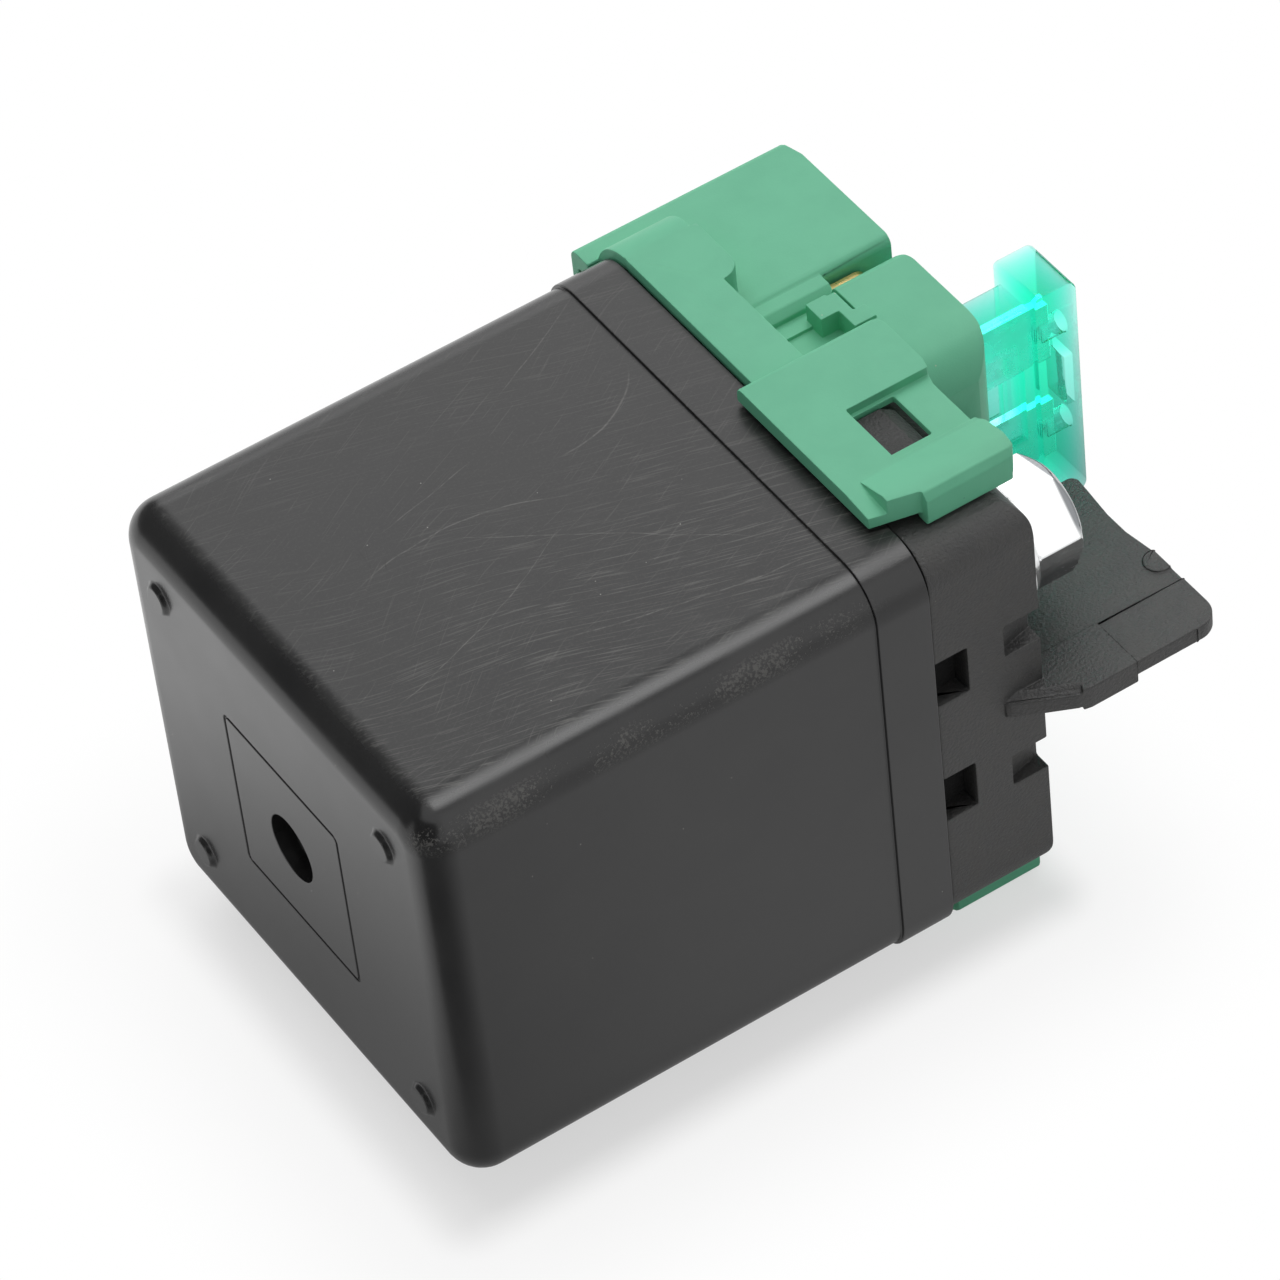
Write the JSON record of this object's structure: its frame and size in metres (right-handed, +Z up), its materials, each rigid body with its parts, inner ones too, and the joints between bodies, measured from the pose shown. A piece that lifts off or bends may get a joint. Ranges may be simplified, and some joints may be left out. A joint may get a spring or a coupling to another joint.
{
  "type": "starter relay",
  "caption": "Boxy starter relay: black case and terminal head with insulating fin, bolt, green clip-on connector housing and a clear blade fuse.",
  "frame": {"origin": "under the middle of the relay's outer box, on the surface it lies on", "axes": "+X from the closed end of the case towards the terminals and the fuse, -Y towards the face with the fin's hook, +Z up as the relay lies"},
  "size_m": [0.0678, 0.0456, 0.0428],
  "materials": {
    "black_case": "satin moulded plastic with fine scratches",
    "black_head": "matte moulded plastic with a rough skin",
    "seal_rubber": "matte",
    "green_housing": "satin moulded plastic",
    "plated_bolt": "bright plated",
    "copper": "bare copper",
    "magnet_steel": "plated",
    "bobbin_plastic": "satin",
    "winding_copper": "varnished copper wire",
    "insulator": "matte",
    "rod_steel": "turned",
    "spring_steel": "drawn wire",
    "brass": "stamped",
    "fuse_plastic": "clear tinted",
    "fuse_metal": "bright stamped"
  },
  "bodies": {
    "case": {"case_cup": "black_case", "terminal_head": "black_head", "head_gasket": "seal_rubber", "connector_housing": "green_housing", "terminal_bolt": "plated_bolt", "contact_bar_battery": "copper", "contact_bar_motor": "copper", "yoke": "magnet_steel", "bobbin": "bobbin_plastic", "coil_winding": "winding_copper", "coil_leads": "winding_copper", "pole_plate": "magnet_steel", "fixed_core": "magnet_steel", "stop_pad": "seal_rubber", "insulating_plate": "insulator", "return_spring": "spring_steel", "blade_upper_front": "brass", "blade_upper_back": "brass", "blade_lower_front": "brass", "blade_lower_back": "brass", "fuse_clip_upper": "brass", "fuse_clip_lower": "brass", "bus_strip": "brass"},
    "plunger": {"plunger_core": "magnet_steel", "plunger_rod": "rod_steel", "rod_clip": "rod_steel", "contact_spring": "spring_steel"},
    "bridge": {"moving_contact": "copper", "insulating_bush": "insulator", "insulating_washer": "insulator"},
    "fuse": {"fuse_body": "fuse_plastic", "fuse_element": "fuse_metal"}
  },
  "joints": [
    {"name": "plunger_slide", "type": "slide", "parent": "case", "child": "plunger", "axis": [1, 0, 0], "range_m": [0, 0.0028], "stiffness_N_per_m": 400, "springref_m": -0.004, "deforming": ["return_spring"]},
    {"name": "bridge_slide", "type": "slide", "parent": "plunger", "child": "bridge", "axis": [1, 0, 0], "range_m": [-0.0008, 0], "stiffness_N_per_m": 1500, "springref_m": 0.002, "deforming": ["contact_spring"]},
    {"name": "fuse_pull", "type": "slide", "parent": "case", "child": "fuse", "axis": [1, 0, 0], "range_m": [0, 0.015]}
  ],
  "couplings": [
    {"joint": "bridge_slide", "follows": "plunger_slide", "ratio": -0.2857}
  ]
}
